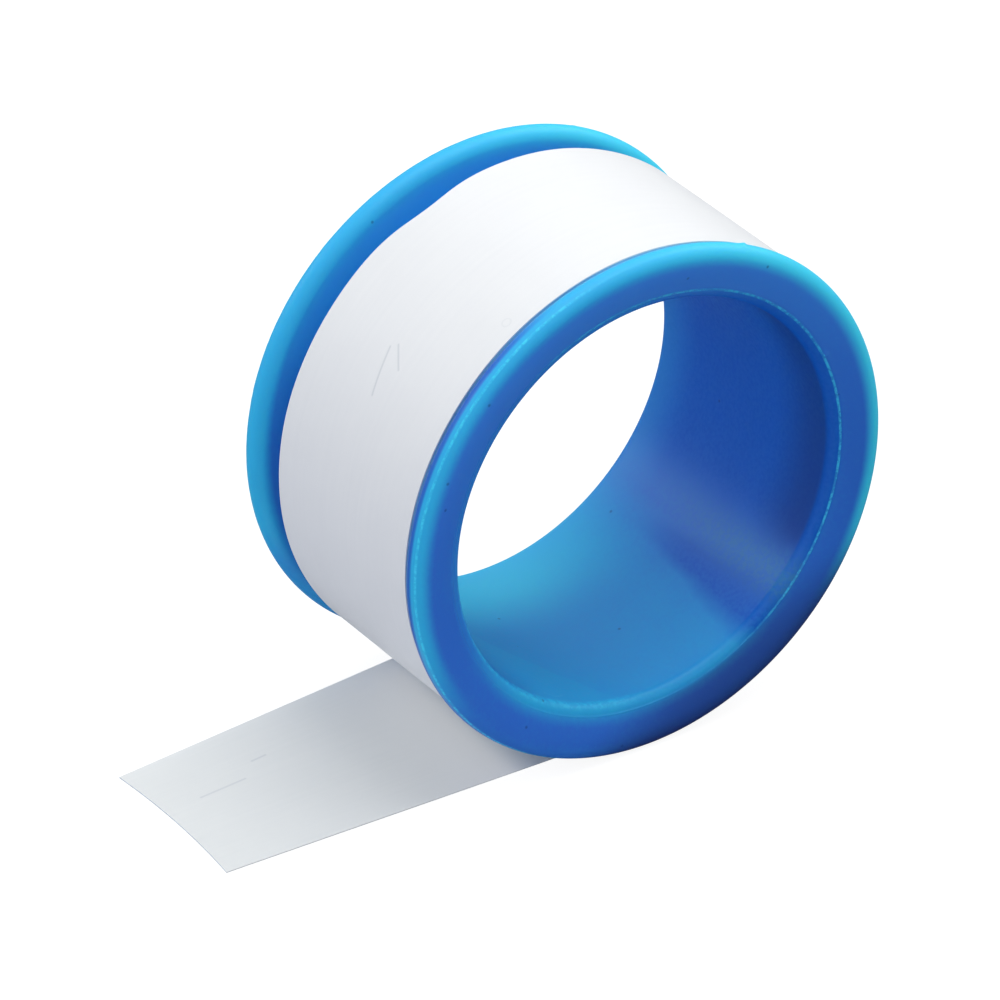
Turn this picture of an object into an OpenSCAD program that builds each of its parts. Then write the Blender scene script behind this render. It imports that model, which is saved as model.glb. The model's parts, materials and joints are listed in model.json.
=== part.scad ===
/* [Spool] */
// Diameter of the straight bore
bore_d = 37.2; // [30:0.2:44]
// Wall of the core between the flanges
core_wall = 0.9; // [0.6:0.1:1.6]
// Height of both flanges over the core
flange_h = 4; // [2.5:0.1:8]
// Thickness of each flange, whose rim is a full round
flange_t = 2.2; // [1.6:0.1:3]
// Space between the tape and the flange that it stands clear of
clear_gap = 2.9; // [0.5:0.1:6]
// Rounding radius of both mouths of the bore
mouth_r = 0.9; // [0.3:0.1:1]
// Fillet radius between the core and each flange
root_r = 0.4; // [0.2:0.1:0.8]
// How far the outer face of each flange is dished in at the mouth
face_dish = 0.7; // [0:0.1:1]
// Width of the flat land between the dished face and the rim
face_land = 0.8; // [0.4:0.1:1.2]

/* [Tape] */
// Width of the tape as it is slit
tape_w = 19; // [12:0.5:26]
// Thickness of the film
film_t = 0.1; // [0.06:0.01:0.1]
// How far the winding stays below the rims of the flanges
rim_margin = 0.3; // [0.3:0.05:2]
// Side play between the tape and the flange that it was wound against
side_play = 0.1; // [0.05:0.05:0.5]
// Clearance that stands for the air between layers
layer_gap = 0.02; // [0.01:0.01:0.05]

/* [Tail] */
// Length of the tail, from under the roll to its cut end
tail_l = 39.4; // [30:0.1:60]
// Clearance between the tail and the winding that it left
tail_gap = 0.2; // [0.1:0.05:0.2]
// Sideways drift of the tail away from the flange
tail_drift = 0.75; // [0:0.05:1.5]
// Width that the stretched film has lost at its cut end, half at each edge
tail_neck = 1.9; // [0:0.1:3]
// Fall of the raised far edge over the whole length of the tail
tail_fall = 2.2; // [1:0.05:4]
// How much further out the near corner of the cut end lies
cut_skew = 0.3; // [0:0.1:3]
// Depth of the inward bow of the cut end
cut_bow = 0.45; // [0:0.05:2]

/* [Hidden] */
$fn = 180;
profile_fn = 64;

// The spool's axis is Y and passes through the origin at mid-width
bore_r = bore_d / 2;
core_r = bore_r + core_wall;
flange_r = core_r + flange_h;
rim_r = flange_t / 2;
flange_in_y = (side_play + tape_w + clear_gap) / 2;
half_w = flange_in_y + flange_t;
mouth_y = half_w - face_dish;
overrun = 1;

// The roll stands on both rims, so the surface is a flange radius down
surface_z = -flange_r;

// The tape is wound against the flange on the -Y side
wound_r = flange_r - rim_margin;
under_r = wound_r - 2 * film_t - layer_gap;
tape_near_y = -flange_in_y + side_play;

// The outer turn climbs by one film from its start to where it leaves the
// roll, and starts just past that line, so it never lies on itself
turn_steps = 120;
turn_start_a = 6;
turn_end_a = 360;

// Grid of the tail along its length and across its width
tail_steps = 40;
tail_rows = 6;
// Blend between the stretch that hugs the winding and the one that falls away
hug_blend = 0.25;
// How the height of the film grows from its near edge to its far edge
lift_power = 1.4;

// Height of the film over the surface where it leaves the winding
leave_h = rim_margin - film_t - tail_gap;

function turn_angle(i) = turn_start_a + (turn_end_a - turn_start_a) * i / turn_steps;

// A point of the outer turn, counted from the lowest line towards -X, at a
// depth under the climbing outer surface
function turn_point(i, depth) =
    let (a = turn_angle(i), r = wound_r - film_t * (1 - a / 360) - depth)
    [-r * sin(a), -r * cos(a)];

// Least distance between stretches of the turn that are half a turn apart
function turn_self_gap() =
    min([for (i = [0:turn_steps / 2]) for (j = [i + turn_steps / 2:turn_steps])
        norm(turn_point(i, film_t / 2) - turn_point(j, film_t / 2))]) - film_t;

function blend_min(a, b) = -hug_blend * ln(exp(-a / hug_blend) + exp(-b / hug_blend));

// How far the winding's underside stands over the film's own underside
function hug_h(x) =
    flange_r - sqrt(max(0, pow(wound_r, 2) - pow(x, 2))) - film_t - tail_gap;

// Height of the near edge and of the far edge, at a share of the length
function near_h(along) = leave_h * pow(1 - along, 2);
function far_h(along, x) = blend_min(hug_h(x), near_h(along) + tail_fall * (1 - along));

// A point of the film's underside at shares along it and across it
function tail_point(along, across) =
    let (
        reach = tail_l + cut_skew * (1 - across) - cut_bow * 4 * across * (1 - across),
        x = -reach * along,
        width = tape_w - tail_neck * along,
        middle_y = tape_near_y + tail_drift + tape_w / 2,
        rise = pow(across, lift_power),
        h = near_h(along) * (1 - rise) + far_h(along, x) * rise
    )
    [x, middle_y + width * (across - 0.5), surface_z + h];

// Straight-sided section of the whole spool, as radius and width. The outer
// face of each flange slopes in from a flat land to the mouth of the bore
module straight_profile() {
    upper = [
        [core_r, flange_in_y],
        [flange_r - rim_r, flange_in_y],
        [flange_r - rim_r, half_w],
        [flange_r - rim_r - face_land, half_w],
        [bore_r + mouth_r, mouth_y],
        [bore_r, mouth_y],
    ];
    lower = [for (i = [len(upper) - 1:-1:0]) [upper[i].x, -upper[i].y]];
    polygon(concat(upper, lower));
}

// Full round of one rim
module rim_profile() {
    translate([flange_r - rim_r, half_w - rim_r])
        circle(r = rim_r, $fn = profile_fn);
}

// Fillet between the core and one flange
module root_profile() {
    translate([core_r, flange_in_y - root_r])
        difference() {
            translate([-core_wall / 2, 0])
                square([root_r + core_wall / 2, root_r + rim_r]);
            translate([root_r, 0])
                circle(r = root_r, $fn = profile_fn);
        }
}

// What the rounding takes off one mouth of the bore
module mouth_cut_profile() {
    translate([bore_r, mouth_y - mouth_r])
        difference() {
            translate([-overrun, 0])
                square([mouth_r + overrun, mouth_r + overrun]);
            translate([mouth_r, 0])
                circle(r = mouth_r, $fn = profile_fn);
        }
}

module spool_profile() {
    difference() {
        union() {
            straight_profile();
            for (side = [0, 1])
                mirror([0, side]) {
                    rim_profile();
                    root_profile();
                }
        }
        for (side = [0, 1])
            mirror([0, side]) mouth_cut_profile();
    }
}

// One-piece moulded spool
module spool() {
    color([0.13, 0.42, 0.76])
        rotate([-90, 0, 0])
            rotate_extrude()
                spool_profile();
}

// All the layers under the outer turn, relieved at the bore to clear the
// fillet of the flange that they lie against
module wound_tape() {
    bore_edge_r = core_r + layer_gap;
    color([0.93, 0.93, 0.94])
        rotate([-90, 0, 0])
            rotate_extrude()
                polygon([
                    [bore_edge_r, tape_near_y + root_r],
                    [bore_edge_r + root_r, tape_near_y],
                    [under_r, tape_near_y],
                    [under_r, tape_near_y + tape_w],
                    [bore_edge_r, tape_near_y + tape_w],
                ]);
}

// The last whole turn of the tape, as one strip on a climbing spiral
module outer_turn() {
    echo(outer_turn_self_gap = turn_self_gap());
    color([0.98, 0.98, 0.98])
        translate([0, tape_near_y + tape_w, 0])
            rotate([90, 0, 0])
                linear_extrude(height = tape_w)
                    polygon(concat(
                        [for (i = [0:turn_steps]) turn_point(i, 0)],
                        [for (i = [turn_steps:-1:0]) turn_point(i, film_t)]
                    ));
}

// The end of the tape, laid out on the surface with its far edge raised
// where it comes off the winding
module tape_tail() {
    layer_n = (tail_steps + 1) * (tail_rows + 1);
    under = [for (i = [0:tail_steps]) for (j = [0:tail_rows])
        tail_point(i / tail_steps, j / tail_rows)];
    top = [for (p = under) p + [0, 0, film_t]];
    function at(i, j, layer) = layer * layer_n + i * (tail_rows + 1) + j;
    function quad(a, b, c, d) = [[a, b, c], [a, c, d]];
    under_faces = [for (i = [0:tail_steps - 1]) for (j = [0:tail_rows - 1])
        each quad(at(i, j, 0), at(i + 1, j, 0), at(i + 1, j + 1, 0), at(i, j + 1, 0))];
    top_faces = [for (i = [0:tail_steps - 1]) for (j = [0:tail_rows - 1])
        each quad(at(i, j, 1), at(i, j + 1, 1), at(i + 1, j + 1, 1), at(i + 1, j, 1))];
    edge_faces = [for (i = [0:tail_steps - 1]) each concat(
        quad(at(i, 0, 0), at(i, 0, 1), at(i + 1, 0, 1), at(i + 1, 0, 0)),
        quad(at(i, tail_rows, 0), at(i + 1, tail_rows, 0),
             at(i + 1, tail_rows, 1), at(i, tail_rows, 1)))];
    end_faces = [for (j = [0:tail_rows - 1]) each concat(
        quad(at(0, j, 0), at(0, j + 1, 0), at(0, j + 1, 1), at(0, j, 1)),
        quad(at(tail_steps, j, 0), at(tail_steps, j, 1),
             at(tail_steps, j + 1, 1), at(tail_steps, j + 1, 0)))];
    color([0.98, 0.98, 0.98])
        polyhedron(points = concat(under, top),
                   faces = concat(under_faces, top_faces, edge_faces, end_faces));
}

spool();
wound_tape();
outer_turn();
tape_tail();
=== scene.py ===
import json
import math
from types import SimpleNamespace

import bmesh
import bpy
import numpy as np
from mathutils import Matrix, Vector


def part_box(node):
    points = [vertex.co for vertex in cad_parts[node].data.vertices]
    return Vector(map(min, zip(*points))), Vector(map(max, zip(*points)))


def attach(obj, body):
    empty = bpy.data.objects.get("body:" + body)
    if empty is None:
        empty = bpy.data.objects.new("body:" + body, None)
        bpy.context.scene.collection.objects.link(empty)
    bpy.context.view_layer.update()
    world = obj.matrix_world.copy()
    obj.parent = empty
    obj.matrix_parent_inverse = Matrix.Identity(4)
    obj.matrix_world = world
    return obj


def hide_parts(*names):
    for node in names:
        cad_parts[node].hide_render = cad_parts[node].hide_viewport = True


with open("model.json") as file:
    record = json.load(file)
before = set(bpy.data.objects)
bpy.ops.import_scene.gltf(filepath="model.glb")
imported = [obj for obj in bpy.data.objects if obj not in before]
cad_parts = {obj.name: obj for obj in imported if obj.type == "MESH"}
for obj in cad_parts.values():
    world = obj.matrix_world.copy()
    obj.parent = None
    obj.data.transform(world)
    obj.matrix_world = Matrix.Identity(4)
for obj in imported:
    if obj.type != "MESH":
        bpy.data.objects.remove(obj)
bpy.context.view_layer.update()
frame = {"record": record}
scene = bpy.context.scene
scene.view_settings.view_transform = "Standard"
MM = 0.001

# Camera: an almost parallel view from the left of the spool's axis and above
# it. The middle of the bore lies at the named pixel of the photograph, and the
# camera is turned to put it there, with no shift and no roll.
photo_px = 1000
bore_middle_px = (563.01, 440.40)
camera_azimuth = math.radians(34.578)
camera_elevation = math.radians(30.751)
camera_distance = 739.85 * MM
lens_mm = 318.755
sensor_mm = 36.0


def camera_axes(back):
    """Right, up and back of a level camera: right is level and square to back."""
    right = np.cross((0.0, 0.0, 1.0), back)
    right = right / np.linalg.norm(right)
    return np.array((right, np.cross(back, right), back))


def aim_camera():
    """Looks at the bore's middle, then turns by the angles its pixel asks for."""
    level = math.cos(camera_elevation)
    back = np.array((-math.sin(camera_azimuth) * level, -math.cos(camera_azimuth) * level,
                     math.sin(camera_elevation)))
    place = back * camera_distance
    right, up, back = camera_axes(back)
    pixels_per_lens = lens_mm / sensor_mm * photo_px
    aside = (bore_middle_px[0] - photo_px / 2) / pixels_per_lens
    above = (photo_px / 2 - bore_middle_px[1]) / pixels_per_lens
    turned = back + right * aside + up * above
    return place, camera_axes(turned / np.linalg.norm(turned))


camera_data = bpy.data.cameras.new("camera")
camera_data.lens = lens_mm
camera_data.sensor_width = sensor_mm
camera_data.clip_start = 0.01
camera_data.clip_end = 20.0
camera = bpy.data.objects.new("camera", camera_data)
camera_place, camera_turn = aim_camera()
camera.location = camera_place.tolist()
camera.rotation_mode = "QUATERNION"
camera.rotation_quaternion = Matrix(camera_turn.T.tolist()).to_quaternion()
scene.collection.objects.link(camera)
scene.camera = camera

# Spool: one moulding in blue polyolefin, an open core between two flanges with
# full-round rims and gently dished faces. The mould leaves a thin flash line
# round each mouth, a witness line on each rim, two parting lines and two burrs.
spool_low, spool_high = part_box("spool")
mounts = {mount["name"]: mount for mount in frame["record"]["mounts"]}
bore_r = mounts["bore"]["dims"]["r_mm"] * MM
flange_r = spool_high.z
half_w = spool_high.y
core_wall = 0.9 * MM
core_r = bore_r + core_wall
rim_r = 1.1 * MM
mouth_r = 0.9 * MM
root_r = 0.4 * MM
face_dish = 0.7 * MM
rim_middle_r = flange_r - rim_r
mouth_end_r = bore_r + mouth_r
spool_steps = 540
flash_height = 0.07 * MM
flash_width = 0.05 * MM
witness_height = 0.032 * MM
witness_angle = math.radians(30)
witness_spread = math.radians(5)
witness_clear_turn = 130 / 360
witness_clear_spread = 50 / 360
parting_height = 0.03 * MM
parting_width = 0.16 * MM
parting_turns = (23.9 / 360, 203.9 / 360)
burr_height = 0.14 * MM
burr_width = 0.28 * MM
burr_places = ((203.9 / 360, flange_r, rim_r - half_w),
               (244.3 / 360, mouth_end_r + 0.2 * MM, face_dish - half_w))
flange_bow = 0.035 * MM
face_columns = 19
face_crowding = 1.7
rim_columns = 34


def wander(along, longest, count, seed):
    """Sum of sine waves, each shorter and lower than the last, at random phases.

    along counts in turns, longest is the first wave's number per turn, and the
    sum is scaled to stay within about one."""
    draw = np.random.default_rng(seed)
    total = np.zeros_like(along)
    for k in range(count):
        number = longest * (k + 1)
        phase = draw.uniform(0, 2 * math.pi)
        total = total + np.sin(2 * math.pi * number * along + phase) / math.sqrt(k + 1)
    return total / math.sqrt(count)


def face_y(radius):
    """Height of the outer face: a quarter sine from the mouth's edge to the rim."""
    share = np.clip((radius - mouth_end_r) / (rim_middle_r - mouth_end_r), 0, 1)
    return half_w - face_dish * (1 - np.sin(math.pi / 2 * share))


def arc(middle_r, middle_y, radius, start, end, steps):
    """Points on a round stretch of the section, from one angle to another."""
    angle = np.radians(np.linspace(start, end, steps + 1)[:-1])
    return np.stack((middle_r + radius * np.cos(angle), middle_y + radius * np.sin(angle)), 1)


def straight(start, end, steps):
    """Evenly spaced points on a straight stretch of the section."""
    share = np.linspace(0, 1, steps + 1)[:-1, None]
    return np.array(start) * (1 - share) + np.array(end) * share


def spool_section():
    """Half the section from mid-bore over one flange to mid-core, and its mirror."""
    mouth_y = half_w - face_dish
    inner_y = half_w - 2 * rim_r
    share = np.linspace(0, 1, face_columns)[:-1] ** face_crowding
    face = mouth_end_r + (rim_middle_r - mouth_end_r) * share
    half = np.concatenate((
        straight((bore_r, 0), (bore_r, mouth_y - mouth_r), 10),
        arc(mouth_end_r, mouth_y - mouth_r, mouth_r, 180, 90, 10),
        np.stack((face, face_y(face)), 1),
        arc(rim_middle_r, half_w - rim_r, rim_r, 90, -90, rim_columns),
        straight((rim_middle_r, inner_y), (core_r + root_r, inner_y), 4),
        arc(core_r + root_r, inner_y - root_r, root_r, 90, 180, 4),
        straight((core_r, inner_y - root_r), (core_r, 0), 2),
    ))
    middle = np.array(((core_r, 0.0),))
    other = half[:0:-1] * (1, -1)
    return np.concatenate((half, middle, other))


def outward(section):
    """Unit normal at each point of a closed section, square to its neighbours' chord."""
    chord = np.roll(section, -1, 0) - np.roll(section, 1, 0)
    normal = np.stack((-chord[:, 1], chord[:, 0]), 1)
    return normal / np.linalg.norm(normal, axis=1)[:, None]


def round_the_axis(turn, radius, y):
    """Points at a share of a turn from the lowest line towards -X, about the Y axis."""
    angle = 2 * math.pi * turn
    return np.stack((-radius * np.sin(angle), y + 0 * radius, -radius * np.cos(angle)), -1)


def bell(distance, spread):
    """One at nought, falling off evenly on both sides within about the spread."""
    return np.exp(-(distance / spread) ** 2)


def grid_mesh(name, points, uv=None, close_rows=False, close_columns=False, cap_ends=False):
    """Quads over a grid of points. A closed direction joins its last line to its
    first, and capped ends close a strip whose columns run round its section."""
    rows, columns = points.shape[:2]
    row = np.arange(rows if close_rows else rows - 1)[:, None]
    column = np.arange(columns if close_columns else columns - 1)[None, :]
    corners = ((row, column), (row + 1, column), (row + 1, column + 1), (row, column + 1))
    quads = np.stack([(r % rows) * columns + c % columns for r, c in corners], -1).reshape(-1, 4)
    places = np.stack([r * (columns + 1) + c for r, c in corners], -1).reshape(-1, 4)
    if cap_ends:
        near = np.arange(columns // 2 - 1)
        far = columns - 1 - near
        first = np.stack((near, near + 1, far - 1, far), 1)
        last = first[:, ::-1] + (rows - 1) * columns
        quads = np.concatenate((quads, first, last))
    mesh = bpy.data.meshes.new(name)
    mesh.from_pydata(points.reshape(-1, 3).tolist(), [], quads.tolist())
    if uv is not None:
        layer = mesh.uv_layers.new(name="film")
        flat = uv.reshape(-1, 2)[places.reshape(-1)]
        values = np.zeros((len(mesh.loops), 2), np.float32)
        values[:len(flat)] = flat
        layer.data.foreach_set("uv", values.reshape(-1))
    mesh.shade_smooth()
    piece = bpy.data.objects.new(name, mesh)
    scene.collection.objects.link(piece)
    return piece


def mould_marks(turn, radius, y):
    """Height of the mould's marks over the plain section: the flash and witness
    lines are bells across the section with an uneven height along it, parting
    lines are bells across the turn, and burrs are round bells at one point."""
    off_face = np.abs(y) - (half_w - face_dish)
    flash = bell(radius - mouth_end_r - flash_width, flash_width) * (off_face > -flash_width)
    flash = flash * (0.6 + 0.4 * wander(turn, 7, 14, 3))
    rim_angle = np.arctan2(np.abs(y) - (half_w - rim_r), radius - rim_middle_r)
    witness = bell(rim_angle - witness_angle, witness_spread) * (radius > rim_middle_r)
    clear = bell(turn - witness_clear_turn, witness_clear_spread)
    witness = witness * (0.25 + 0.9 * clear) * (0.7 + 0.6 * wander(turn, 11, 16, 5))
    parting = 0
    for parting_turn in parting_turns:
        parting = parting + bell((turn - parting_turn) * 2 * math.pi * radius, parting_width)
    parting = parting * (radius > core_r + root_r) * (np.abs(y) < half_w - rim_r / 2)
    burr = 0
    for burr_turn, burr_r, burr_y in burr_places:
        round_by = (turn - burr_turn) * 2 * math.pi * radius
        apart = np.sqrt(round_by ** 2 + (radius - burr_r) ** 2 + (y - burr_y) ** 2)
        burr = burr + bell(apart, burr_width)
    return (flash * flash_height + witness * witness_height + parting * parting_height
            + burr * burr_height)


def moulded_spool():
    """The section carried round the axis, moved along its normals by the mould's
    marks, with both flanges bowed a little out of true."""
    section = spool_section()
    normal = outward(section)
    turn = np.arange(spool_steps)[:, None] / spool_steps
    radius = section[None, :, 0]
    y = section[None, :, 1]
    height = mould_marks(turn, radius, y)
    bow = flange_bow * wander(turn, 2, 2, 8) * (radius - bore_r) / (flange_r - bore_r)
    radial = radius + normal[None, :, 0] * height
    axial = y + normal[None, :, 1] * height + bow * np.sign(y)
    points = round_the_axis(turn, radial, axial)
    return grid_mesh("moulded_spool", points, close_rows=True, close_columns=True)


def node(tree, kind, sockets=None, **settings):
    """A shader node with its settings made and its inputs set or linked by name."""
    made = tree.nodes.new(kind)
    for key, value in settings.items():
        setattr(made, key, value)
    for key, value in (sockets or {}).items():
        if isinstance(value, bpy.types.NodeSocket):
            tree.links.new(value, made.inputs[key])
        else:
            made.inputs[key].default_value = value
    return made


def calc(tree, operation, *values, clamp=False):
    """One step of arithmetic on sockets and numbers, as a Math node."""
    sockets = dict(enumerate(values))
    return node(tree, "ShaderNodeMath", sockets, operation=operation, use_clamp=clamp).outputs[0]


def vector_calc(tree, operation, first, second):
    """One step of vector arithmetic, as a Vector Math node."""
    return node(tree, "ShaderNodeVectorMath", {0: first, 1: second}, operation=operation)


def ramp(tree, value, low, high):
    """A smooth step from nought to one between two values."""
    sockets = {"Value": value, "From Min": low, "From Max": high}
    step = node(tree, "ShaderNodeMapRange", sockets, interpolation_type="SMOOTHSTEP")
    return step.outputs["Result"]


def spread(tree, value, low, high):
    """A value between nought and one, carried to another range."""
    sockets = {"Value": value, "To Min": low, "To Max": high}
    return node(tree, "ShaderNodeMapRange", sockets).outputs["Result"]


def product(tree, value, *others):
    """Several values multiplied together."""
    for other in others:
        value = calc(tree, "MULTIPLY", value, other)
    return value


def largest(tree, value, *others):
    """The largest of several values."""
    for other in others:
        value = calc(tree, "MAXIMUM", value, other)
    return value


def away_from(tree, value, middle):
    """How far a value is from a middle one, either way."""
    return calc(tree, "ABSOLUTE", calc(tree, "SUBTRACT", value, middle))


def blend_colour(tree, share, first, second):
    """A mix of two colours by a share."""
    sockets = {"Factor": share, 6: first, 7: second}
    return node(tree, "ShaderNodeMix", sockets, data_type="RGBA").outputs[2]


def paint(tree, under, colour, *shares):
    """A colour laid over another, by the product of some shares."""
    return blend_colour(tree, product(tree, *shares), under, colour)


def speckle(tree, vector, scale, detail=3.0, roughness=0.5):
    """Noise between nought and one at a number of grains per metre."""
    sockets = {"Vector": vector, "Scale": scale, "Detail": detail, "Roughness": roughness}
    return node(tree, "ShaderNodeTexNoise", sockets).outputs["Fac"]


def start_group(name, inputs, output):
    """A node group with named inputs, each a vector or a number, and one output."""
    group = bpy.data.node_groups.new(name, "ShaderNodeTree")
    for label, kind in inputs:
        group.interface.new_socket(label, in_out="INPUT", socket_type="NodeSocket" + kind)
    group.interface.new_socket(output, in_out="OUTPUT", socket_type="NodeSocketFloat")
    given = group.nodes.new("NodeGroupInput").outputs
    result = group.nodes.new("NodeGroupOutput").inputs[0]
    return group, given, result


def pressed_line_group():
    """Mask of a fine line: one on the stretch between two points, nought at a
    width from it. The nearest point's share of the stretch is the dot product
    of the way to the place with the stretch, over its squared length, clamped."""
    inputs = (("Place", "Vector"), ("Start", "Vector"), ("End", "Vector"), ("Width", "Float"))
    group, given, result = start_group("pressed_line", inputs, "Mask")
    way = vector_calc(group, "SUBTRACT", given["Place"], given["Start"]).outputs[0]
    whole = vector_calc(group, "SUBTRACT", given["End"], given["Start"]).outputs[0]
    reach = vector_calc(group, "DOT_PRODUCT", way, whole).outputs["Value"]
    square = vector_calc(group, "DOT_PRODUCT", whole, whole).outputs["Value"]
    share = calc(group, "DIVIDE", reach, square, clamp=True)
    nearest = node(group, "ShaderNodeVectorMath", {0: whole, "Scale": share}, operation="SCALE")
    apart = vector_calc(group, "DISTANCE", way, nearest.outputs[0]).outputs["Value"]
    sockets = {"Value": apart, "From Max": given["Width"], "To Min": 1.0, "To Max": 0.0}
    near = node(group, "ShaderNodeMapRange", sockets, interpolation_type="SMOOTHSTEP")
    group.links.new(near.outputs["Result"], result)
    return group


def scattered_specks_group():
    """Mask of small round specks, at most one in each cell of a random grid:
    a cell has one only where its own random number is over the rarity."""
    inputs = (("Place", "Vector"), ("Cells", "Float"), ("Size", "Float"), ("Rarity", "Float"))
    group, given, result = start_group("scattered_specks", inputs, "Mask")
    cells = node(group, "ShaderNodeTexVoronoi", {"Vector": given["Place"], "Scale": given["Cells"]})
    random = node(group, "ShaderNodeSeparateXYZ", {0: cells.outputs["Color"]}).outputs[0]
    kept = calc(group, "GREATER_THAN", random, given["Rarity"])
    near = calc(group, "SUBTRACT", given["Size"], cells.outputs["Distance"])
    near = calc(group, "DIVIDE", near, given["Size"], clamp=True)
    mask = calc(group, "MULTIPLY", calc(group, "MULTIPLY", near, 2.0, clamp=True), kept)
    group.links.new(mask, result)
    return group


pressed_line = pressed_line_group()
scattered_specks = scattered_specks_group()


def lines_mask(tree, place, lines, width):
    """The strongest mask among several pressed lines, each a pair of points."""
    mask = 0.0
    for start, end in lines:
        sockets = {"Place": place, "Start": start, "End": end, "Width": width}
        line = node(tree, "ShaderNodeGroup", sockets, node_tree=pressed_line)
        mask = calc(tree, "MAXIMUM", mask, line.outputs[0])
    return mask


def specks_mask(tree, place, cells, size, rarity):
    """The mask of the scattered specks, with a size as a share of a cell."""
    sockets = {"Place": place, "Cells": cells, "Size": size, "Rarity": rarity}
    return node(tree, "ShaderNodeGroup", sockets, node_tree=scattered_specks).outputs[0]


def start_material(name):
    """An empty material with its Principled shader and output in place."""
    material = bpy.data.materials.new(name)
    material.use_nodes = True
    tree = material.node_tree
    shader = tree.nodes["Principled BSDF"]
    return material, tree, shader


def spool_point(degrees, radius, y):
    """A place on the spool, at an angle from the lowest line towards -X."""
    return tuple(round_the_axis(np.array(degrees / 360), np.array(radius), y).tolist())


# Parts of the spool that the tones below share, and noise in grains per metre.
# A pair of distances, or of angles in radians from the lowest line towards +X, is
# where a part starts and is full. A pair of shares is the one outside and inside.
side_stray = 0.05
bore_wall = (19.9 * MM, 19.3 * MM)
near_half = (1 * MM, -1 * MM)
left_part = (-8 * MM, -16 * MM)
lower_right = (0.95, 0.4)
lower_left = (-1.25, -0.6)
stray_grains = 420.0
skin_grains = 2600.0


def spool_coordinates(tree):
    """Place, distance from the axis and from mid-width, the angle from the lowest
    line towards +X, which strays with noise, and the angle round the rim's section.
    With them go the shares of the parts that several tones need."""
    at = SimpleNamespace(place=node(tree, "ShaderNodeTexCoord").outputs["Object"])
    at.x, at.y, at.z = node(tree, "ShaderNodeSeparateXYZ", {0: at.place}).outputs
    square = calc(tree, "ADD", product(tree, at.x, at.x), product(tree, at.z, at.z))
    at.radius = calc(tree, "SQRT", square)
    at.axial = calc(tree, "ABSOLUTE", at.y)
    side = calc(tree, "ARCTAN2", at.x, calc(tree, "MULTIPLY", at.z, -1.0))
    stray = calc(tree, "SUBTRACT", speckle(tree, at.place, stray_grains, 2.0), 0.5)
    at.side = calc(tree, "MULTIPLY_ADD", stray, side_stray, side)
    at.rim_turn = calc(tree, "ARCTAN2", calc(tree, "SUBTRACT", at.axial, half_w - rim_r),
                       calc(tree, "SUBTRACT", at.radius, rim_middle_r))
    at.grain = speckle(tree, at.place, skin_grains, 2.0)
    at.in_bore = ramp(tree, at.radius, *bore_wall)
    at.on_flange = calc(tree, "SUBTRACT", 1.0, at.in_bore)
    at.near = ramp(tree, at.y, *near_half)
    at.left = product(tree, ramp(tree, at.x, *left_part), at.near)
    at.below = product(tree, ramp(tree, at.side, *lower_right), ramp(tree, at.side, *lower_left))
    return at


# Painted light in the rims, partly the lighter tone of their thin edges and partly light from above,
# from a radius that is larger at the left of the near rim
rim_start = (21.5 * MM, 21.75 * MM)
rim_depth = 1.4 * MM
rim_rise = (-17 * MM, -5 * MM)
rim_foot_share = (0.55, 0.1)
rim_back = (0.25, -0.1)
rim_back_share = 0.25


def light_rim(tree, at):
    """Painted light at the outside of both rims, partly the lighter tone of their thin edges. The
    near rim has less of it low down and, at the left, on the back edge, which is painted shade."""
    at.back = product(tree, at.left, ramp(tree, at.rim_turn, *rim_back))
    depth = calc(tree, "SUBTRACT", at.radius, spread(tree, at.left, *rim_start))
    high = largest(tree, ramp(tree, at.z, *rim_rise), spread(tree, at.near, *rim_foot_share))
    return product(tree, ramp(tree, depth, 0.0, rim_depth), high,
                   spread(tree, at.back, 1.0, rim_back_share))


# Painted light, as it falls from above and in through the mouths: in the mouths, the wall, the
# flanges' inner sides and the upper part, and on a slanting patch of the wall
mouth_radius = (20.7 * MM, 19.0 * MM)
mouth_width = (10.4 * MM, 12.4 * MM)
mouth_share = (0.1, 0.75)
wall_width = (0.0, 11 * MM)
wall_share = (0.6, 1.0)
inner_width = (11.9 * MM, 11.3 * MM)
inner_rise = (0.0, 18 * MM)
inner_share = (0.15, 0.85)
upper_rise = (4 * MM, 22 * MM)
upper_share = (0.0, 0.14)
patch_slope = 34.4 * MM
patch_start = 15.9 * MM
patch_edge = (0.4 * MM, -0.4 * MM)
patch_end = (0.0, -0.25)
patch_share = 0.12
mottle_grains = 180.0
mottle_share = 0.14
grain_share = 0.2


def painted_and_soaked_light(tree, at):
    """How much light is painted in: the strongest of the rims, the mouths, the lower wall, the
    flanges' inner sides and a little with height, partly light that soaks through the thin plastic
    and partly painted light falling from above and through the mouths. A slanting patch of the wall
    has more painted light, and mottling and grain make it uneven."""
    mouth = product(tree, ramp(tree, at.radius, *mouth_radius),
                    ramp(tree, at.axial, *mouth_width), spread(tree, at.below, *mouth_share))
    wall = product(tree, at.below, spread(tree, ramp(tree, at.y, *wall_width), *wall_share),
                   at.in_bore)
    inner_side = product(tree, ramp(tree, at.axial, *inner_width),
                         spread(tree, ramp(tree, at.z, *inner_rise), *inner_share))
    upper = spread(tree, ramp(tree, at.z, *upper_rise), *upper_share)
    light = largest(tree, upper, at.rim, mouth, wall, inner_side)
    mottle = calc(tree, "SUBTRACT", speckle(tree, at.place, mottle_grains), 0.5)
    light = calc(tree, "MULTIPLY_ADD", mottle, mottle_share, light)
    slant = calc(tree, "MULTIPLY_ADD", at.side, patch_slope, calc(tree, "ADD", at.y, patch_start))
    patch = product(tree, ramp(tree, slant, *patch_edge), ramp(tree, at.side, *patch_end),
                    at.in_bore)
    light = calc(tree, "MULTIPLY_ADD", patch, patch_share, light)
    grain = calc(tree, "SUBTRACT", at.grain, 0.5)
    return calc(tree, "MULTIPLY_ADD", grain, grain_share, light, clamp=True)
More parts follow.
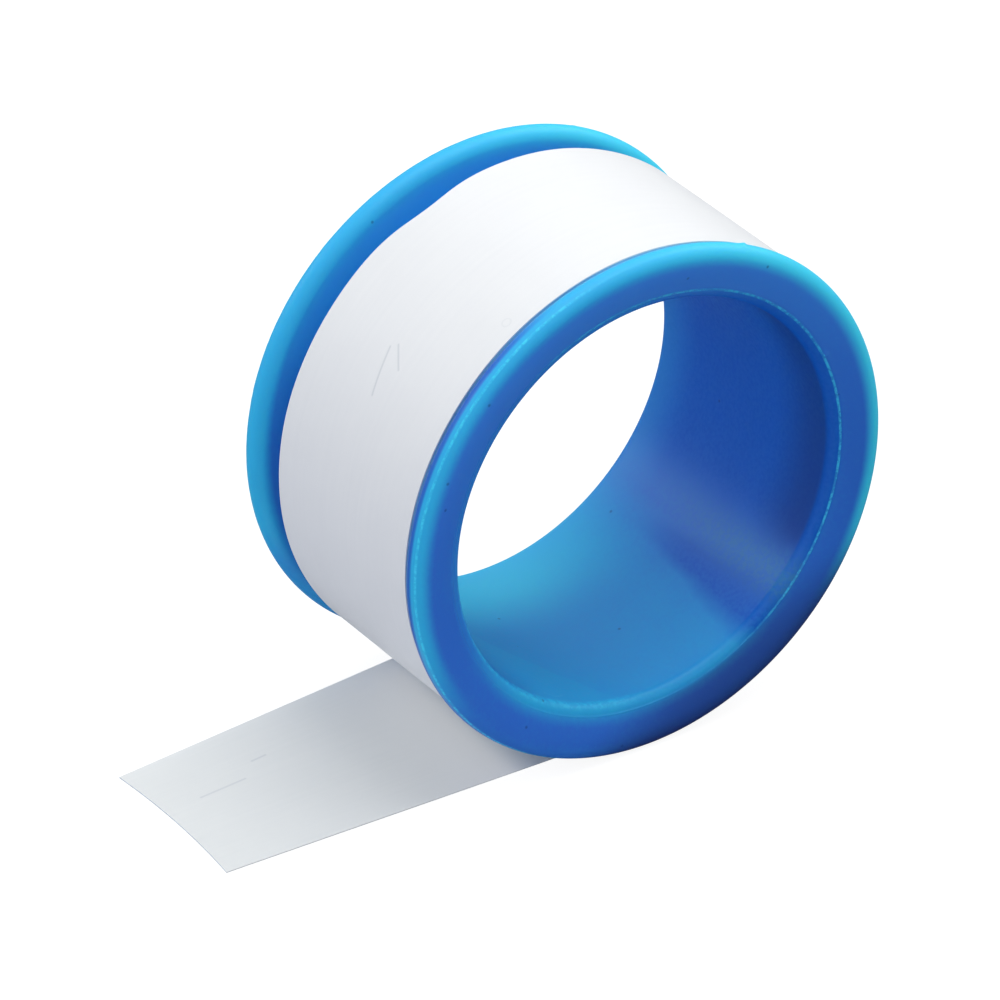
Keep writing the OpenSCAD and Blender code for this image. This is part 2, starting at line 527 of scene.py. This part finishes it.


# Painted shade on the wall, just inside the near mouth and at the foot of the near face, and painted
# light on the top of the flanges and the far end of the wall, with a painted reflection streak
wall_shade_blue = (0.001, 0.128, 0.59, 1)
deep_start = (0.82, 1.12)
deep_end = (3.0, 2.4)
band_side = 0.69
band_width = (0.05, 0.2)
band_growth = (8 * MM, -14 * MM)
band_edge = 1.6
band_end = (7 * MM, -3 * MM)
fleck_grain = (0.3, 0.7)
fleck_share = (0.76, 0.98)
top_light_blue = (0.06, 0.29, 0.90, 1)
top_rise = (-4 * MM, 20 * MM)
top_share = (0.5, 0.1)
navy_shade_blue = (0.012, 0.03, 0.19, 1)
navy_width = (-4 * MM, -11 * MM)
navy_mouth = (-12.2 * MM, -11.4 * MM)
navy_radius = (21.3 * MM, 23 * MM)
navy_share = (0.6, 0.9)
foot_towards = (0.40, -0.92)
foot_reach = (16 * MM, 21.5 * MM)
reflection_streak_blue = (0.05, 0.25, 0.46, 1)
reflection_streak_side = 0.846
reflection_streak_width = (0.18, 0.0)
reflection_streak_growth = (8 * MM, -9 * MM)
reflection_streak_growth_share = (0.1, 1.0)
reflection_streak_grain = (0.35, 0.65)
reflection_streak_share = (0.25, 0.65)
far_end_light_blue = (0.05, 0.42, 0.80, 1)
far_end = (6 * MM, 12.5 * MM)
far_end_share = 0.4


def wall_light_and_shade(tree, at, colour):
    """Painted shade in deep blue on one side of the wall and in a band that widens towards the near
    mouth, painted shade in navy just inside that mouth and at the foot of the face, a painted
    reflection streak beside the band, broken by grain, and painted light at the far end. The top of
    the flanges has painted light too."""
    across_wall = product(tree, ramp(tree, at.side, *deep_start), ramp(tree, at.side, *deep_end))
    width = spread(tree, ramp(tree, at.y, *band_growth), *band_width)
    apart = calc(tree, "DIVIDE", away_from(tree, at.side, band_side), width)
    band = calc(tree, "SUBTRACT", 1.0, apart, clamp=True)
    band = product(tree, calc(tree, "MULTIPLY", band, band_edge, clamp=True),
                   ramp(tree, at.y, *band_end))
    fleck = spread(tree, ramp(tree, at.grain, *fleck_grain), *fleck_share)
    # Painted shade in deep blue on one side of the wall and in the band, flecked by grain
    colour = paint(tree, colour, wall_shade_blue, largest(tree, across_wall, band), at.in_bore, fleck)
    # Painted light on the top of the flanges
    colour = paint(tree, colour, top_light_blue, ramp(tree, at.z, *top_rise), at.on_flange,
                   spread(tree, at.rim, *top_share))

    # Painted shade in navy just inside the near mouth and at the foot of the near face
    inside = product(tree, ramp(tree, at.y, *navy_width), ramp(tree, at.y, *navy_mouth),
                     across_wall, at.in_bore)
    down = calc(tree, "MULTIPLY_ADD", at.z, foot_towards[1],
                calc(tree, "MULTIPLY", at.x, foot_towards[0]))
    foot = product(tree, ramp(tree, down, *foot_reach), at.on_flange, at.near)
    colour = paint(tree, colour, navy_shade_blue, largest(tree, inside, foot),
                   spread(tree, ramp(tree, at.radius, *navy_radius), *navy_share))

    # A painted reflection streak in greyish blue, broken by grain
    reflection_streak = product(tree, ramp(tree, away_from(tree, at.side, reflection_streak_side), *reflection_streak_width), at.in_bore,
                    spread(tree, ramp(tree, at.y, *reflection_streak_growth), *reflection_streak_growth_share),
                    spread(tree, ramp(tree, at.grain, *reflection_streak_grain), *reflection_streak_share))
    colour = paint(tree, colour, reflection_streak_blue, reflection_streak)
    # Painted light at the far end of the wall
    return paint(tree, colour, far_end_light_blue, at.in_bore, ramp(tree, at.y, *far_end), far_end_share)


# Thin lines, painted highlights along the mould's real flash and witness ridges and the bore's lip:
# how near to its line each is full, its stretch, and its share
edge_near = (0.16 * MM, 0.05 * MM)
edge_depth = 0.1 * MM
edge_stretch = (-14 * MM, -4 * MM)
edge_share = 0.7
lip_radius = (19.1 * MM, 18.8 * MM)
lip_width = (11.4 * MM, 11.9 * MM)
lip_stretch = (2 * MM, -5 * MM)
lip_share = 0.5
witness_turn = 0.55
witness_near = (0.16, 0.04)
witness_radius = (22.5 * MM, 22.9 * MM)
witness_stretch = (-2 * MM, -12 * MM)
witness_far_share = 0.35
witness_share = 0.9
break_grains = 2200.0
line_breaks = (0.42, 0.6)
line_shares = (0.3, 1.0)


def line_glints(tree, at):
    """Painted highlights along thin lines, broken by noise: on the real flash ridge round the mouths,
    away from the far left and the bottom, on the lip of the bore that shows at the left, and on the
    real witness ridge on the left of both rims."""
    mouth_y = half_w - face_dish
    edge = product(tree, ramp(tree, away_from(tree, at.radius, mouth_end_r), *edge_near),
                   ramp(tree, at.axial, mouth_y - edge_depth, mouth_y),
                   ramp(tree, at.x, *edge_stretch), calc(tree, "SUBTRACT", 1.0, at.below))
    lip = product(tree, ramp(tree, at.radius, *lip_radius), ramp(tree, at.axial, *lip_width),
                  ramp(tree, at.x, *lip_stretch))
    witness = product(tree, ramp(tree, away_from(tree, at.rim_turn, witness_turn), *witness_near),
                      ramp(tree, at.radius, *witness_radius), ramp(tree, at.x, *witness_stretch),
                      spread(tree, at.near, witness_far_share, 1.0))
    lines = largest(tree, product(tree, edge, edge_share), product(tree, lip, lip_share),
                    product(tree, witness, witness_share))
    broken = ramp(tree, speckle(tree, at.place, break_grains, 3.0, 0.7), *line_breaks)
    return product(tree, lines, spread(tree, broken, *line_shares))


# Specks as angle in degrees and radius on the near face, or angle, radius and
# width in the bore, and the bends of a scratch as angle and width by the mouth
speck_blue = (0.005, 0.05, 0.22, 1)
speck_share = 0.55
speck_size = (0.2 * MM, 0.05 * MM)
scattered_cells = 260.0
scattered_size = 0.045
scattered_rarity = 0.55
face_specks = ((189.1, 20.94), (210.0, 22.35), (108.2, 21.7), (114.3, 22.4), (7.7, 22.4),
               (133.0, 22.38), (36.5, 21.15))
bore_specks = ((348.5, 18.6, -3.1), (323.8, 18.6, 8.7), (11.9, 18.6, 3.9), (33.2, 18.76, -12.1))
scratch_blue = (0.10, 0.55, 0.85, 1)
scratch_share = 0.5
scratch_width = 0.16 * MM
scratch_depth = 0.8
scratch_r = bore_r + 0.08 * MM
scratch_bends = ((28.5, -10.2), (26.2, -10.8), (23.0, -10.5))


def pigment_specks(tree, at):
    """Dark specks of unmixed pigment: the plainest at their own places, and small
    ones scattered over the whole spool."""
    spots = [spool_point(angle, r * MM, -face_y(r * MM)) for angle, r in face_specks]
    spots = spots + [spool_point(angle, r * MM, y * MM) for angle, r, y in bore_specks]
    apart = 1.0
    for spot in spots:
        reach = vector_calc(tree, "DISTANCE", at.place, spot).outputs["Value"]
        apart = calc(tree, "MINIMUM", apart, reach)
    scattered = specks_mask(tree, at.place, scattered_cells, scattered_size, scattered_rarity)
    return largest(tree, ramp(tree, apart, *speck_size), scattered)


# The plastic as a whole: its plain colours, the colours of its painted light and shade, and its skin
body_blue = (0.026, 0.165, 0.66, 1)
lit_and_soaked_blue = (0.024, 0.47, 0.80, 1)
highlight_blue = (0.05, 0.70, 0.92, 1)
bright_rim_part = (-8 * MM, 14 * MM)
bright_wall_part = (0.55, 0.0)
bright_wall_share = 0.75
back_edge_shade_blue = (0.010, 0.11, 0.50, 1)
back_share = 0.8
line_glint_blue = (0.06, 0.70, 0.98, 1)
skin_roughness = (0.34, 0.48)
skin_depth = 0.02 * MM


def spool_plastic():
    """Blue polyolefin, painted in the spool's own coordinates so that its tones, many of them painted
    light and shade, turn with it, with a fine skin and a little light under the surface."""
    material, tree, shader = start_material("blue_polyolefin")
    at = spool_coordinates(tree)
    at.rim = light_rim(tree, at)
    # Body blue, lighter where light is painted in and where it soaks through the thin plastic
    colour = blend_colour(tree, painted_and_soaked_light(tree, at), body_blue, lit_and_soaked_blue)
    # Painted highlight on the rims, stronger towards +X, and painted light on the lower wall towards
    # the far mouth
    bright_rim = product(tree, at.rim, ramp(tree, at.x, *bright_rim_part))
    bright_wall = product(tree, ramp(tree, at.y, *wall_width), ramp(tree, at.side, *bright_wall_part),
                          at.below, at.in_bore, bright_wall_share)
    colour = paint(tree, colour, highlight_blue, largest(tree, bright_rim, bright_wall))
    colour = wall_light_and_shade(tree, at, colour)
    # Painted shade on the back edge of the near rim at the left, beside the tape
    colour = paint(tree, colour, back_edge_shade_blue, at.back, back_share)
    # Painted highlights along the flash, lip and witness lines
    colour = paint(tree, colour, line_glint_blue, line_glints(tree, at))
    colour = paint(tree, colour, speck_blue, pigment_specks(tree, at), speck_share)
    path = [spool_point(angle, scratch_r, y * MM) for angle, y in scratch_bends]
    scratch = lines_mask(tree, at.place, list(zip(path[:-1], path[1:])), scratch_width)
    colour = paint(tree, colour, scratch_blue, scratch, scratch_share)
    tree.links.new(colour, shader.inputs["Base Color"])

    tree.links.new(spread(tree, at.grain, *skin_roughness), shader.inputs["Roughness"])
    height = calc(tree, "SUBTRACT", at.grain, calc(tree, "MULTIPLY", scratch, scratch_depth))
    bump = node(tree, "ShaderNodeBump", {"Height": height, "Strength": 0.25, "Distance": skin_depth})
    tree.links.new(bump.outputs["Normal"], shader.inputs["Normal"])
    shader.inputs["IOR"].default_value = 1.5
    shader.inputs["Specular IOR Level"].default_value = 0.3
    shader.inputs["Subsurface Weight"].default_value = 0.35
    shader.inputs["Subsurface Radius"].default_value = (0.15, 0.6, 1.0)
    shader.inputs["Subsurface Scale"].default_value = 1.6 * MM
    return material


spool = moulded_spool()
spool.data.materials.append(spool_plastic())
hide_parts("spool")
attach(spool, "roll")

# Tape layers: all the white film under the outer turn, wound on the core as
# one strip. Each side shows the strip's edge turn upon turn, and the side away
# from the near flange has been pressed in a little at its outer corner.
tape_low, tape_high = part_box("wound_tape")
layer_low_y = tape_low.y
layer_high_y = tape_high.y
under_r = tape_high.z
layer_inner_r = core_r + 0.02 * MM
relief = root_r
film_t = 0.1 * MM
layer_count = 32
layer_pitch = (under_r - layer_inner_r) / layer_count
layer_rows = 3
layer_steps = 360
edge_scatter = 0.06 * MM
edge_valley = 0.05 * MM
slump_depth = 0.6 * MM
slump_turn = 158.0 / 360
slump_spread = 8.5 / 360
slump_reach = 1.4 * MM
climb_end = 0.97
near_columns = 9
cover_columns = 13


def slump(turn):
    """How far the far edge has been pushed in, a bell round one place on the turn."""
    return slump_depth * bell(turn - slump_turn, slump_spread)


def climb(turn):
    """The spiral's gain over a turn: one pitch, handed back just before its end."""
    back = np.clip((turn - climb_end) / (1 - climb_end), 0, 1)
    return layer_pitch * np.where(turn < climb_end, turn / climb_end, 1 - back)


def merge_doubles(piece):
    """Joins points that coincide, which closes the seam and drops flat faces."""
    work = bmesh.new()
    work.from_mesh(piece.data)
    bmesh.ops.remove_doubles(work, verts=work.verts, dist=0.0005 * MM)
    bmesh.ops.recalc_face_normals(work, faces=work.faces)
    work.to_mesh(piece.data)
    work.free()


def tape_layers():
    """A ring whose far side is the edge of one strip: a row of points runs along
    the spiral, so that a full turn later it meets the row one layer further out."""
    turn = np.linspace(0, 1, layer_steps + 1)[:, None]
    outer_r = under_r + climb(turn)
    row = np.arange(layer_count * layer_rows, -layer_rows - 1, -1)[None, :]
    spiral_r = layer_inner_r + layer_pitch * (row / layer_rows + turn)
    side_r = np.clip(spiral_r, layer_inner_r, outer_r)
    strip = row // layer_rows + turn
    edge = edge_scatter * wander(strip / 5, 1.37, 9, 21)
    edge = np.where(row % layer_rows == 0, -edge_valley, edge)
    corner = np.clip((side_r - (under_r - slump_reach)) / slump_reach, 0, 1)
    side_y = layer_high_y - edge_scatter + edge - slump(turn) * corner ** 2
    one = np.ones_like(turn)
    near_r = np.linspace(0, 1, near_columns)[None, 1:]
    near_radii = layer_inner_r + relief + (outer_r - layer_inner_r - relief) * near_r
    cover = np.linspace(0, 1, cover_columns)[None, 1:-1]
    top_y = side_y[:, :1]
    radius = np.concatenate((layer_inner_r * one, (layer_inner_r + relief) * one, near_radii,
                             outer_r * np.ones_like(cover), side_r), 1)
    axial = np.concatenate(((layer_low_y + relief) * one, layer_low_y * one,
                            layer_low_y * np.ones_like(near_radii),
                            layer_low_y + (top_y - layer_low_y) * cover, side_y), 1)
    points = round_the_axis(turn, radius, axial)
    uv = np.stack((turn * np.ones_like(radius), radius / layer_pitch - turn), -1)
    uv = np.concatenate((uv, uv[:, -1:]), 1)
    uv = np.concatenate((uv, uv[-1:]), 0)
    piece = grid_mesh("tape_layers", points, uv, close_columns=True)
    merge_doubles(piece)
    return piece


def drawn_film_group():
    """Streaks that drawing leaves in film: noise stretched along its length,
    coarse and fine, with a little cloudiness, between nought and one."""
    inputs = (("Place", "Vector"), ("Along", "Float"), ("Across", "Float"))
    group, given, result = start_group("drawn_film", inputs, "Streak")
    scale = node(group, "ShaderNodeCombineXYZ", {0: given["Along"], 1: given["Across"]})
    drawn = vector_calc(group, "MULTIPLY", given["Place"], scale.outputs[0]).outputs[0]
    fine = speckle(group, drawn, 1.0, 4.0, 0.6)
    cloud = speckle(group, given["Place"], 190.0, 2.0)
    mixed = calc(group, "ADD", product(group, fine, 0.65), product(group, cloud, 0.35))
    group.links.new(mixed, result)
    return group


drawn_film = drawn_film_group()

# Looks of the film: streaks per metre, tones of its thin and thick streaks, the lengths along the
# free end over which it greys towards the cut and over which shade is painted beside the roll, the
# painted light and glow just past the roll, the painted shade and blue reflection on the side by the
# flange, and the pressed marks
streaks_along = 60.0
streaks_across = 2200.0
film_thin = (0.785, 0.795, 0.82, 1)
film_thick = (0.85, 0.855, 0.865, 1)
film_roughness = (0.42, 0.55)
painted_light_white = (0.95, 0.955, 0.96, 1)
painted_glow = 0.07
greyed_thin = (0.73, 0.755, 0.765, 1)
greyed_thick = (0.80, 0.815, 0.815, 1)
greying_stretch = (-9 * MM, -22 * MM)
roll_shade_blue = (0.40, 0.52, 0.68, 1)
shaded_stretch = (-12.8 * MM, -9 * MM)
shaded_share = 0.6
flange_shade_and_bounce_blue = (0.20, 0.50, 0.80, 1)
side_depth = (0.06 * MM, 0.01 * MM)
crease_grey = (0.55, 0.58, 0.62, 1)
crease_share = 0.55
crease_width = 0.18 * MM
crease_depth = 2.5
ring_share = 0.2
ring_width = 0.13 * MM


def film_white(name, creases=(), rings=(), painted_light_end=False, flange_shade_side=False):
    """White film: a waxy skin with faint streaks along its length. Creases are fine dark lines
    pressed into it, and rings are the marks of a round thing. On the free end, white light and a
    faint glow are painted just past the roll, the film greys towards the cut, and shade with a blue
    tint is painted beside the roll. On the side by the flange, shade and a blue reflection of the
    flange are painted."""
    material, tree, shader = start_material(name)
    place = node(tree, "ShaderNodeTexCoord").outputs["UV"]
    sockets = {"Place": place, "Along": streaks_along, "Across": streaks_across}
    streak = node(tree, "ShaderNodeGroup", sockets, node_tree=drawn_film).outputs[0]
    colour = blend_colour(tree, streak, film_thin, film_thick)
    if flange_shade_side:
        spot = node(tree, "ShaderNodeTexCoord").outputs["Object"]
        level = node(tree, "ShaderNodeSeparateXYZ", {0: spot}).outputs[1]
        above = calc(tree, "SUBTRACT", level, layer_low_y)
        # Painted shade and a painted blue reflection of the near flange on the side beside it
        colour = paint(tree, colour, flange_shade_and_bounce_blue, ramp(tree, above, *side_depth))
    if painted_light_end:
        # Painted light and a painted glow just past the roll, greyer towards the cut, and painted
        # shade with a blue tint beside the roll
        along = node(tree, "ShaderNodeSeparateXYZ", {0: place}).outputs[0]
        clear = ramp(tree, along, *greying_stretch)
        shaded = ramp(tree, along, *shaded_stretch)
        greyed_film = blend_colour(tree, streak, greyed_thin, greyed_thick)
        colour = blend_colour(tree, clear, painted_light_white, greyed_film)
        colour = paint(tree, colour, roll_shade_blue, shaded, shaded_share)
        glow = blend_colour(tree, largest(tree, clear, shaded), (1, 1, 1, 1), (0, 0, 0, 1))
        tree.links.new(glow, shader.inputs["Emission Color"])
        shader.inputs["Emission Strength"].default_value = painted_glow
    height = streak
    if creases:
        crease = lines_mask(tree, place, creases, crease_width)
        colour = paint(tree, colour, crease_grey, crease, crease_share)
        height = calc(tree, "SUBTRACT", height, calc(tree, "MULTIPLY", crease, crease_depth))
    for centre, ring_r in rings:
        apart = vector_calc(tree, "DISTANCE", place, centre).outputs["Value"]
        ring = ramp(tree, away_from(tree, apart, ring_r), ring_width, 0.0)
        colour = paint(tree, colour, crease_grey, ring, ring_share)
        height = calc(tree, "SUBTRACT", height, ring)
    tree.links.new(colour, shader.inputs["Base Color"])
    tree.links.new(spread(tree, streak, *film_roughness), shader.inputs["Roughness"])
    bump = node(tree, "ShaderNodeBump", {"Height": height, "Strength": 0.25, "Distance": 0.01 * MM})
    tree.links.new(bump.outputs["Normal"], shader.inputs["Normal"])
    shader.inputs["IOR"].default_value = 1.38
    shader.inputs["Subsurface Weight"].default_value = 0.3
    shader.inputs["Subsurface Radius"].default_value = (1.0, 1.0, 1.0)
    shader.inputs["Subsurface Scale"].default_value = 0.3 * MM
    return material


layers = tape_layers()
layers.data.materials.append(film_white("wound_film", flange_shade_side=True))
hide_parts("wound_tape")
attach(layers, "roll")

# Outer turn: the last whole turn of the film, one strip that starts under its
# own end and climbs by a layer. Its far edge wanders a little, and near its end
# it drifts sideways to meet the free end.
turn_start = -15 / 360
turn_steps = 420
turn_rows = 48
turn_lift = 0.005 * MM
far_wander = 0.07 * MM
near_wander = 0.04 * MM
end_drift = 0.75 * MM
drift_start = 300 / 360
ripple = 0.012 * MM


def film_strip(name, top, under, along, across):
    """A closed strip of film: its upper face, then its lower face the other way."""
    points = np.concatenate((top, under[:, ::-1]), 1)
    u = np.concatenate((along, along[:, ::-1]), 1)
    v = np.concatenate((across, across[:, ::-1]), 1)
    uv = np.stack((u, v), -1)
    uv = np.concatenate((uv, uv[:, -1:]), 1)
    uv = np.concatenate((uv, uv[-1:]), 0)
    piece = grid_mesh(name, points, uv, close_columns=True, cap_ends=True)
    piece.data.set_sharp_from_angle(angle=math.radians(50))
    return piece


def outer_turn():
    """The strip's radius grows with its angle by a pitch a turn, and its edges
    follow slow waves, the slump of the layers below and the drift to the free end."""
    turn = np.linspace(turn_start, 1, turn_steps + 1)[:, None]
    share = np.linspace(0, 1, turn_rows + 1)[None, :]
    drift = np.clip((turn - drift_start) / (1 - drift_start), 0, 1)
    drift = end_drift * drift ** 2 * (3 - 2 * drift)
    near_y = layer_low_y + drift + near_wander * wander(turn, 2.3, 5, 31)
    far_y = layer_high_y + drift + far_wander * (wander(turn, 1.7, 7, 32) - 1) - slump(turn)
    y = near_y + (far_y - near_y) * share
    base = under_r + turn_lift + layer_pitch * turn
    swell = ripple * wander(turn + share * 0.11, 4.0, 6, 33) * np.sin(math.pi * share)
    under_radius = base + 0 * y
    top_radius = base + film_t + np.abs(swell)
    top = round_the_axis(turn, top_radius, y)
    under = round_the_axis(turn, under_radius, y)
    length = turn * 2 * math.pi * under_r + 0 * y
    return film_strip("tape_outer_turn", top, under, length, y)


def on_turn(degrees, y):
    """A place on the outer turn's own map: length along the film, and width."""
    return (math.radians(degrees) * under_r, y * MM, 0.0)


turn_piece = outer_turn()
turn_creases = [(on_turn(130.6, -0.5), on_turn(120.4, -1.4)),
                (on_turn(131.9, -1.2), on_turn(127.8, -2.8))]
turn_rings = [(on_turn(148.6, -9.3), 0.4 * MM)]
turn_piece.data.materials.append(film_white("outer_film", turn_creases, turn_rings))
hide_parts("outer_turn")
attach(turn_piece, "roll")

# Free end: the last stretch of film, pulled off and laid on the surface. Its
# far edge still stands off where it leaves the roll, the film has narrowed a
# little, and the cut end is bowed inwards.
surface_z = spool_low.z
tape_w = 19 * MM
tail_l = 39.4 * MM
tail_gap = 0.2 * MM
tail_drift = 0.75 * MM
tail_neck = 1.9 * MM
tail_fall = 2.2 * MM
cut_skew = 0.3 * MM
cut_bow = 0.45 * MM
hug_blend = 0.25 * MM
lift_power = 1.4
wound_r = flange_r - 0.3 * MM
tail_steps = 180
tail_rows = 64


def free_end():
    """Straight from the roll's lowest line to the cut. The far edge follows the
    lesser of two heights, the winding's underside and a steady fall, blended."""
    along = np.linspace(0, 1, tail_steps + 1)[:, None]
    across = np.linspace(0, 1, tail_rows + 1)[None, :]
    reach = tail_l + cut_skew * (1 - across) - cut_bow * 4 * across * (1 - across)
    x = -reach * along
    width = tape_w - tail_neck * along
    middle_y = layer_low_y + tail_drift + tape_w / 2
    y = middle_y + width * (across - 0.5)
    hug = flange_r - np.sqrt(np.maximum(0, wound_r ** 2 - x ** 2)) - film_t - tail_gap
    fall = tail_fall * (1 - along) + 0 * x
    far = -hug_blend * np.log(np.exp(-hug / hug_blend) + np.exp(-fall / hug_blend))
    height = np.maximum(far, 0) * across ** lift_power
    z = surface_z + height
    under = np.stack((x, y, z), -1)
    top = under + (0, 0, film_t)
    return film_strip("tape_free_end", top, under, x, y)


tail = free_end()
tail_creases = [((-35.5 * MM, 1.3 * MM, 0.0), (-31.0 * MM, 1.5 * MM, 0.0)),
                ((-29.2 * MM, 3.3 * MM, 0.0), (-27.8 * MM, 3.4 * MM, 0.0))]
tail.data.materials.append(film_white("laid_film", tail_creases, painted_light_end=True))
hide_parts("tape_tail")
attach(tail, "tail")

# Floor: a plain white surface under the roll, out to the horizon. It looks white, with only a trace
# of a contact shadow, and throws back only part of the light, less on the right, a painted shadow of
# the roll in its bounced light, so that the underside of the roll stays dark.
floor_size = 6.0
floor_grey = (0.2, 0.2, 0.2, 1)
floor_glow = 0.9
thrown_left = (0.52, 0.54, 0.62, 1)
thrown_right = (0.16, 0.17, 0.22, 1)
thrown_turn = (-14 * MM, 14 * MM)
mirrored_floor = (0.12, 0.13, 0.16, 1)


def white_floor():
    """One flat square, lighter to the eye than to the roll."""
    half = floor_size / 2
    corners = [(-half, -half), (half, -half), (half, half), (-half, half)]
    mesh = bpy.data.meshes.new("floor")
    mesh.from_pydata([(x, y, surface_z) for x, y in corners], [], [(0, 1, 2, 3)])
    material, tree, shader = start_material("white_floor")
    shader.inputs["Base Color"].default_value = floor_grey
    shader.inputs["Roughness"].default_value = 0.9
    shader.inputs["Specular IOR Level"].default_value = 0.0
    shader.inputs["Emission Color"].default_value = (1, 1, 1, 1)
    shader.inputs["Emission Strength"].default_value = floor_glow
    place = node(tree, "ShaderNodeTexCoord").outputs["Object"]
    sideways = node(tree, "ShaderNodeSeparateXYZ", {0: place}).outputs[0]
    thrown = blend_colour(tree, ramp(tree, sideways, *thrown_turn), thrown_left, thrown_right)
    dim = node(tree, "ShaderNodeBsdfDiffuse", {"Color": thrown})
    dark = node(tree, "ShaderNodeBsdfDiffuse", {"Color": mirrored_floor})
    rays = node(tree, "ShaderNodeLightPath").outputs
    bounced = node(tree, "ShaderNodeMixShader",
                   {0: rays["Is Glossy Ray"], 1: dim.outputs[0], 2: dark.outputs[0]})
    mix = node(tree, "ShaderNodeMixShader",
               {0: rays["Is Camera Ray"], 1: bounced.outputs[0], 2: shader.outputs[0]})
    tree.links.new(mix.outputs[0], tree.nodes["Material Output"].inputs["Surface"])
    mesh.materials.append(material)
    floor = bpy.data.objects.new("floor", mesh)
    scene.collection.objects.link(floor)
    return floor


white_floor()

# Light: white surroundings, brighter towards the back left and above, and darker
# near the horizon where they are mirrored. A large warm soft box hangs overhead,
# one stands on the right, and a small one behind on the left.
surround = 0.70
surround_lean = 0.25
surround_white = (0.94, 0.97, 1, 1)
bright_side = (-0.35, 0.45, 0.8)
mirrored_low = 0.12
mirrored_high = 1.0
mirrored_rise = (0.1, 0.9)
mirrored_white = (0.95, 0.97, 1, 1)
soft_boxes = (("overhead", (0.10, -0.02, 0.7), 0.6, 1.9, (1, 0.98, 0.93)),
              ("right", (0.50, 0.05, 0.38), 0.4, 0.9, (1, 1, 1)),
              ("behind_left", (-0.34, 0.43, 0.25), 0.18, 0.3, (1, 1, 1)))


def soft_box(name, place, size, power, colour):
    """A square light that faces the middle of the roll."""
    data = bpy.data.lights.new(name, "AREA")
    data.color = colour
    data.shape = "SQUARE"
    data.size = size
    data.energy = power
    box = bpy.data.objects.new(name, data)
    box.location = place
    box.rotation_mode = "QUATERNION"
    box.rotation_quaternion = Vector(place).to_track_quat("Z", "Y")
    scene.collection.objects.link(box)


def surroundings():
    """Light that leans to the bright side for matt surfaces, a gradient with
    height for mirrored light, and plain white for the camera."""
    world = bpy.data.worlds.new("surroundings")
    world.use_nodes = True
    sky = world.node_tree
    shown = node(sky, "ShaderNodeBackground", {"Color": (1, 1, 1, 1), "Strength": 1.0})
    direction = node(sky, "ShaderNodeTexCoord").outputs["Generated"]
    towards = vector_calc(sky, "DOT_PRODUCT", direction, bright_side).outputs["Value"]
    level = calc(sky, "MULTIPLY_ADD", towards, surround_lean, surround)
    even = node(sky, "ShaderNodeBackground", {"Color": surround_white, "Strength": level})
    upwards = node(sky, "ShaderNodeSeparateXYZ", {0: direction}).outputs[2]
    strength = spread(sky, ramp(sky, upwards, *mirrored_rise), mirrored_low, mirrored_high)
    mirrored = node(sky, "ShaderNodeBackground", {"Color": mirrored_white, "Strength": strength})
    rays = node(sky, "ShaderNodeLightPath").outputs
    lit = node(sky, "ShaderNodeMixShader",
               {0: rays["Is Glossy Ray"], 1: even.outputs[0], 2: mirrored.outputs[0]})
    both = node(sky, "ShaderNodeMixShader",
                {0: rays["Is Camera Ray"], 1: lit.outputs[0], 2: shown.outputs[0]})
    sky.links.new(both.outputs[0], sky.nodes["World Output"].inputs["Surface"])
    return world


for name, place, size, power, colour in soft_boxes:
    soft_box(name, place, size, power, colour)
scene.world = surroundings()
